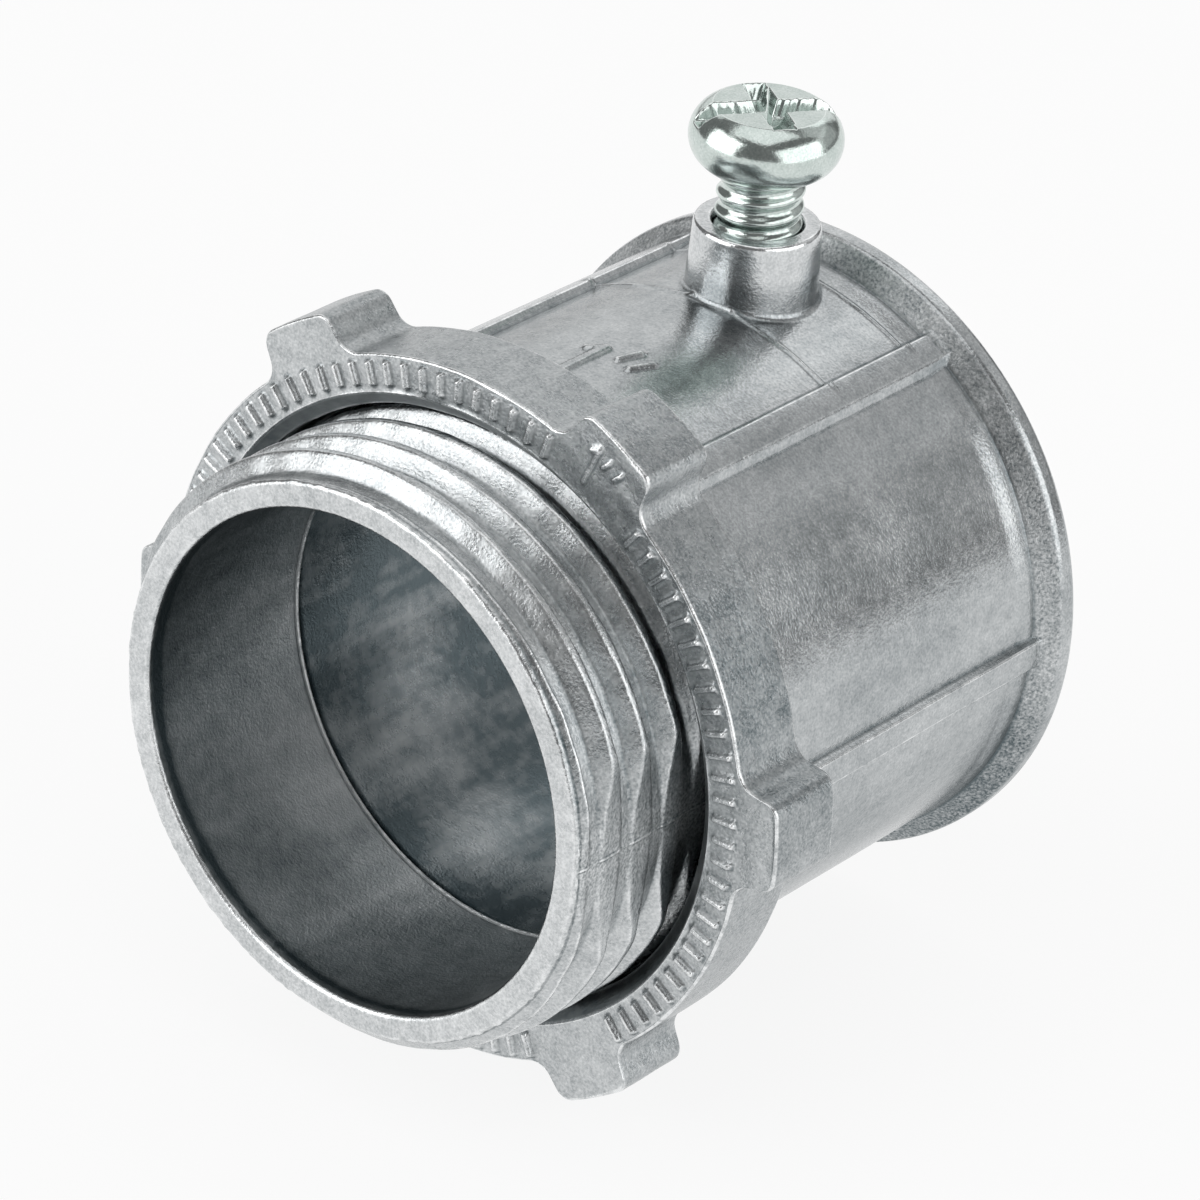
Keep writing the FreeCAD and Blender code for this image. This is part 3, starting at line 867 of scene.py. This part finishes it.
def nut_front(angle, radius):
    """Height of the ridges and of the size mark above the locknut's front face.

    Across a ridge the height is a plateau with smooth flanks in the distance from its middle line, and along
    it one with short ramps at the ends. The nearest ridge is that at the rounded count of pitches.
    """
    from_smooth_lug = (angle - lug_first_angle) % smooth_lug_pitch
    number = np.clip(np.round((from_smooth_lug - ridge_first_angle) / ridge_pitch_angle), 0, ridge_count - 1)
    offset = from_smooth_lug - ridge_first_angle - number * ridge_pitch_angle
    offset = np.abs(offset) * np.radians(radius)
    across = smooth_step((ridge_base_half_width - offset) / (ridge_base_half_width - ridge_top_half_width))
    end_shift = ridge_unevenness * unevenness(angle, 0, seed=15, finest=90)
    from_end = np.minimum(radius - ridge_inner_radius, ridge_outer_radius - radius) + end_shift
    along = smooth_step(from_end / ridge_end_ramp)
    beside_mark = (angle - lug_first_angle) * np.radians(lug_mark_radius)
    mark = strokes(beside_mark, radius + 0 * angle, lug_mark_strokes, lug_mark_softness)
    return ridge_height * across * along + lug_mark_height * mark


def in_nut_bore(points):
    """True on the locknut's thread and on its mouth chamfer; the chamfer's darker bore tone is painted shade.
    """
    behind_front = points[:, 1] > nut_front_y + nut_edge_margin
    return (from_axis(points) < nut_bore_radius + nut_mouth_chamfer) & behind_front


def nut_painted_shade(points):
    """Painted shade of the locknut: its outer wall is darker than its faces, and most so along the flanks."""
    behind_edge = points[:, 1] > nut_front_y + nut_front_edge_radius
    wall = (from_axis(points) > lug_zone_radius + nut_edge_margin) & behind_edge
    return wall * (nut_wall_shade + nut_flank_shade * flank_painted_shade(points))


nut_rows = rounded_loop([
    (nut_bore_radius, nut_back_y - nut_back_chamfer, 0, 0.24),
    (nut_bore_radius, nut_front_y + nut_mouth_chamfer, 0, 0.2),
    (nut_bore_radius + nut_mouth_chamfer, nut_front_y, 0.12, 0.3),
    (ridge_inner_radius, nut_front_y, 0, 0.06),
    (ridge_inner_radius + ridge_end_length, nut_front_y, 0, 0.2),
    (ridge_outer_radius - ridge_end_length, nut_front_y, 0, 0.06),
    (ridge_outer_radius, nut_front_y, 0, 0.04),
    (lug_zone_radius, nut_front_y, 0, 0.0027),
    (nut_radius, nut_front_y, nut_front_edge_radius, 0.6),
    (nut_radius, nut_back_y, nut_back_edge_radius, 0.6),
    (lug_zone_radius, nut_back_y, 0, 0.8),
    (nut_bore_radius + nut_back_chamfer, nut_back_y, 0.1, 0.3),
])
ridge_flank_offsets = np.array([0.25, 0.49, 0.74, 1.25])
ridge_offsets = np.concatenate([
    [-ridge_pitch_angle / 2], -ridge_flank_offsets[::-1], [0], ridge_flank_offsets])
ridge_zones = [
    (lug_first_angle + smooth_lug_pitch * k + ridge_first_angle + ridge_pitch_angle * number, ridge_offsets)
    for k in range(smooth_lug_count) for number in range(ridge_count)]
lug_flank_offsets = spread(1.375, 0.25)
lug_flank_zones = [
    (lug_first_angle + lug_pitch * k + side * lug_flank_angle, lug_flank_offsets)
    for k in range(lug_count) for side in (-1, 1)]
lug_mark_zone = (lug_first_angle - 0.2, spread(3.6, 0.18))
nut_columns = angle_columns(0.4, ridge_zones + lug_flank_zones + [lug_mark_zone])
row_radius, row_y = nut_rows[:, :1], nut_rows[:, 1:]
outline = nut_outline(nut_columns)
edge_start = nut_radius - nut_front_edge_radius
stretched = lug_zone_radius + (row_radius - lug_zone_radius) * (
    (outline - nut_front_edge_radius - lug_zone_radius) / (edge_start - lug_zone_radius))
grid_radius = np.where(row_radius < edge_start, stretched, outline - nut_radius + row_radius)
grid_radius = np.where(row_radius < lug_zone_radius + fine_row_margin, row_radius, grid_radius)
past_floor = np.maximum(from_crest(nut_columns, row_y) - nut_groove_floor_half_width, 0)
groove = nut_groove_depth - past_floor / thread_slope
in_bore = row_radius < nut_bore_radius + nut_mouth_chamfer + row_margin
grid_radius = np.where(in_bore, np.maximum(grid_radius, nut_bore_radius + groove), grid_radius)
on_front = (row_y < nut_front_y + fine_row_margin) & (row_radius > nut_bore_radius + nut_mouth_chamfer)
nut_y = row_y - on_front * nut_front(nut_columns, grid_radius)
wall_depth = skin_depth(nut_columns, nut_y, seed=11)
grid_radius = grid_radius - wall_depth * (row_radius > lug_zone_radius + surface_margin)
nut_y = nut_y + on_front * skin_depth(nut_columns, grid_radius * 2, seed=12)
nut_points = turned(grid_radius, nut_y, nut_columns)
make_piece(
    "locknut_ring", nut_points, grid_faces(*nut_points.shape[:2]),
    cast_zinc_nut, "locknut", "locknut", {"bore": in_nut_bore, "shade": nut_painted_shade})

# The set screw: steel, cold-headed with a slot and a cross pressed into its rounded head, its thread rolled,
# then plated bright with zinc. It is backed out of the boss so that a conduit can enter the socket.
head_top_z = 28.0
head_seat_z = 24.5
head_side_radius = 1.9
head_side_centre = 2.29
head_equator_z = 26.24
recess_angle = 55.0
slot_half_width = 0.8
arm_half_width = 0.66
arm_reach = 3.0
recess_depth = 0.95
recess_flare = 0.42
recess_corner_rounding = 0.3
recess_scallop = 0.015
scallop_pitches = (0.47, 0.83)
cross_reach = 2.4
cross_half_width = 0.72
cross_depth = 1.35
cross_floor_share = 0.35
screw_thread_radius = 2.41
screw_root_radius = 2.13
screw_pitch = 1.06
screw_crest_half_width = 0.13
screw_slope = np.tan(np.radians(42.0))
screw_thread_rounding = 0.08
screw_tip_z = 15.2
screw_tip_chamfer = 0.5
shank_top_z = 25.2


def capped_faces(rows, columns):
    """Corner numbers of the faces of a grid closed round the axis, its first and last rows single points."""
    index = np.arange(rows * columns).reshape(rows, columns)
    index[0] = index[0, 0]
    index[-1] = index[-1, 0]
    right = np.roll(index, -1, axis=1)
    return np.stack([right[:-1], index[:-1], index[1:], right[1:]], axis=-1)


def recess_floor(x, y):
    """Depth of the slot, its cross arm and the tapered middle below the head's top at (x, y).

    The inside distance from the nearest wall is the larger of those of the slot and of the arm, rounded at
    their corners and scalloped along the walls, and the flared walls go down over the first part of it. The
    middle narrows in proportion as it goes down, so at a place its depth is the one at which the plus shape
    has shrunk to it: (1 - size) / (1 - floor share) of the full depth, where size is the largest shrink that
    still covers the place.
    """
    angle = np.radians(recess_angle)
    along = np.abs(x * np.cos(angle) + y * np.sin(angle))
    across = np.abs(y * np.cos(angle) - x * np.sin(angle))
    in_slot = slot_half_width - across
    in_arm = np.minimum(arm_half_width - along, arm_reach - across)
    wave = sum(np.sin(2 * np.pi * (along - across) / pitch) for pitch in scallop_pitches)
    inside = soft_max(in_slot, in_arm, recess_corner_rounding) + recess_scallop * wave
    walls = recess_depth * smooth_step(inside / recess_flare)
    first_arm = np.maximum(along / cross_reach, across / cross_half_width)
    second_arm = np.maximum(across / cross_reach, along / cross_half_width)
    size = np.minimum(first_arm, second_arm)
    middle = cross_depth * np.clip((1 - size) / (1 - cross_floor_share), 0, 1)
    return np.maximum(walls, middle)


def turn_at(height):
    """Angle up from the level at which the head's round side passes a height."""
    return np.arcsin((height - head_equator_z) / head_side_radius)


head_column_count = 520
flat_rows = 63
side_rows = 60
flat_edge_inset, flat_edge_gap = 0.05, 0.015
head_columns = np.linspace(0, 2 * np.pi, head_column_count, endpoint=False)
side_turn = np.linspace(turn_at(head_top_z), turn_at(head_seat_z), side_rows)
side_reach = head_side_centre + head_side_radius * np.cos(side_turn)
side_z = head_equator_z + head_side_radius * np.sin(side_turn)
flat_reach = np.linspace(0, side_reach[0] - flat_edge_inset, flat_rows - 1)
flat_reach = np.append(flat_reach, side_reach[0] - flat_edge_gap)
head_reach = np.concatenate([flat_reach, side_reach, np.linspace(side_reach[-1], 0, 4)[1:]])
head_z = np.concatenate([np.full(flat_rows, head_top_z), side_z, np.full(3, head_seat_z)])
head_x = head_reach[:, None] * np.cos(head_columns)
head_y = head_reach[:, None] * np.sin(head_columns)
sink = np.minimum(recess_floor(head_x, head_y), head_top_z - head_equator_z)
sunk_z = np.minimum(head_z[:, None], head_top_z - sink)
upper_side = np.arange(len(head_z))[:, None] < flat_rows + side_rows // 2
head_surface_z = np.where(upper_side, sunk_z, head_z[:, None])
head_points = np.stack([head_x, head_y + screw_y, head_surface_z], axis=-1)

plated_dark = (0.27, 0.355, 0.325, 1)
plated_light = (0.90, 0.95, 0.925, 1)
plated_skin = new_finish("zinc_plated_steel")
# Convex edges are lightened, partly for wear and partly as a painted highlight.
plated_wear_and_highlight = plated_skin.attribute("edge").between(1.0, 5.0)
plated_tone = 0.5 + plated_skin.clouds(1.5, 3) * 0.12 + plated_skin.clouds(0.12, 2) * 0.14
plated_tone = plated_tone + plated_wear_and_highlight * 0.35
plated_gloss = 0.14 + plated_skin.clouds(0.4, 3) * 0.05
plated_relief = plated_skin.clouds(0.12, 3) * 0.4 + plated_skin.clouds(1.2, 2)
plated_steel = metal_finish(plated_tone, plated_dark, plated_light, plated_gloss, plated_relief, 0.004)
make_piece(
    "set_screw_head", head_points, capped_faces(*head_points.shape[:2]),
    plated_steel, "set_screw", "set_screw", {})

shank_column_count = 150
shank_row_count = 140
shank_columns = np.linspace(0, 2 * np.pi, shank_column_count, endpoint=False)
shank_side_z = np.linspace(screw_tip_z, shank_top_z, shank_row_count)
shank_z = np.concatenate([[screw_tip_z, screw_tip_z], shank_side_z, [shank_top_z, shank_top_z]])[:, None]
shank_share = np.ones_like(shank_z)
shank_share[0] = shank_share[-1] = 0
shank_share[1] = shank_share[-2] = 0.5
crest_offset = from_nearest(shank_z - screw_pitch * shank_columns / (2 * np.pi), screw_pitch)
screw_flank = screw_thread_radius - (crest_offset - screw_crest_half_width) / screw_slope
screw_ridge = soft_min(screw_thread_radius, screw_flank, screw_thread_rounding)
shank_radius = soft_max(screw_root_radius, screw_ridge, screw_thread_rounding)
tip_cone = screw_thread_radius - screw_tip_chamfer + (shank_z - screw_tip_z)
shank_radius = soft_min(shank_radius, tip_cone, screw_thread_rounding) * shank_share
shank_points = np.stack([
    shank_radius * np.cos(shank_columns),
    shank_radius * np.sin(shank_columns) + screw_y,
    shank_z + 0 * shank_columns,
], axis=-1)
make_piece(
    "set_screw_shank", shank_points, capped_faces(*shank_points.shape[:2]),
    plated_steel, "set_screw", "set_screw", {})

# The stage: a plain pale floor that the object's lowest lugs stand on, and large soft lamps over it and
# behind it, as for a picture of a metal part.
floor_z = -20.615 * MM
floor_half_size = 4.0
floor_colour = (0.92, 0.92, 0.92, 1.0)
floor_glow_share = 0.88
world_colour = (0.19, 0.19, 0.19, 1.0)

floor_mesh = bpy.data.meshes.new("floor")
floor_mesh.from_pydata([
    (floor_half_size * x, floor_half_size * y, floor_z) for x, y in ((-1, -1), (1, -1), (1, 1), (-1, 1))
], [], [(0, 1, 2, 3)])
floor_skin = new_finish("pale_floor")
floor_tree = floor_skin.finish.node_tree
floor_shader = floor_tree.nodes["Principled BSDF"]
floor_shader.inputs["Base Color"].default_value = floor_colour
floor_shader.inputs["Roughness"].default_value = 0.9
floor_shader.inputs["Specular IOR Level"].default_value = 0.0
seen, mirrored, through = (
    floor_skin.node("ShaderNodeLightPath", {}, {}, "Is %s Ray" % kind)
    for kind in ("Camera", "Glossy", "Transmission"))
glow = floor_skin.node("ShaderNodeEmission", {}, {"Color": (1.0, 1.0, 1.0, 1.0), "Strength": 1.0})
plain = Skin(floor_skin.finish, floor_shader.outputs[0])
shown = floor_skin.node("ShaderNodeMixShader", {}, {
    0: (seen + mirrored + through) * floor_glow_share, 1: plain, 2: glow})
floor_tree.links.new(shown.socket, floor_tree.nodes["Material Output"].inputs["Surface"])
floor_mesh.materials.append(floor_skin.finish)
floor = add_object("floor", floor_mesh)

world = bpy.data.worlds.new("studio")
world.use_nodes = True
world.node_tree.nodes["Background"].inputs["Color"].default_value = world_colour
bpy.context.scene.world = world


def soft_lamp(name, direction, distance, width, height, power):
    """A rectangular lamp that faces the object from a direction, its sizes in metres, its power in watts."""
    light = bpy.data.lights.new(name, "AREA")
    light.shape = "RECTANGLE"
    light.size = width
    light.size_y = height
    light.energy = power
    place = Vector(direction).normalized() * distance
    lamp = add_object(name, light)
    lamp.matrix_world = Matrix.Translation(place) @ place.to_track_quat("Z", "Y").to_matrix().to_4x4()


soft_lamp("overhead", (0.0, -0.1, 1.0), distance=0.9, width=0.9, height=0.9, power=2.3)
soft_lamp("left", (-0.50, -0.76, 0.33), distance=0.7, width=0.66, height=0.7, power=3.1)
soft_lamp("right", (0.99, 0.08, 0.36), distance=0.7, width=0.98, height=0.54, power=2.5)
soft_lamp("back_left", (-0.53, 0.70, 0.48), distance=0.9, width=1.1, height=0.8, power=2.0)
soft_lamp("back_high", (0.15, 0.70, 0.70), distance=1.0, width=0.8, height=0.5, power=0.5)
soft_lamp("back_right", (0.50, 0.78, 0.36), distance=1.0, width=0.9, height=0.5, power=0.4)

# The camera: a long lens from the nipple's side, above and to the right, turned a little about its own axis.
azimuth = np.radians(37.09)
elevation = np.radians(28.92)
roll = np.radians(5.16)
camera_place = (162.75, -207.55, 151.16)
focal_length = 171.54
film_width = 36.0
camera_back = np.array([
    np.sin(azimuth) * np.cos(elevation),
    -np.cos(azimuth) * np.cos(elevation),
    np.sin(elevation)])
level_right = np.array([np.cos(azimuth), np.sin(azimuth), 0.0])
level_up = np.cross(camera_back, level_right)
camera_right = np.cos(roll) * level_right + np.sin(roll) * level_up
camera_up = np.cos(roll) * level_up - np.sin(roll) * level_right
lens = bpy.data.cameras.new("camera")
lens.lens = focal_length
lens.sensor_width = film_width
lens.clip_start = 0.01
lens.clip_end = 50.0
camera = add_object("camera", lens)
camera.matrix_world = Matrix.Translation(np.array(camera_place) * MM) @ Matrix(
    np.stack([camera_right, camera_up, camera_back], axis=1)).to_4x4()
bpy.context.scene.camera = camera
bpy.context.scene.view_settings.view_transform = "Standard"
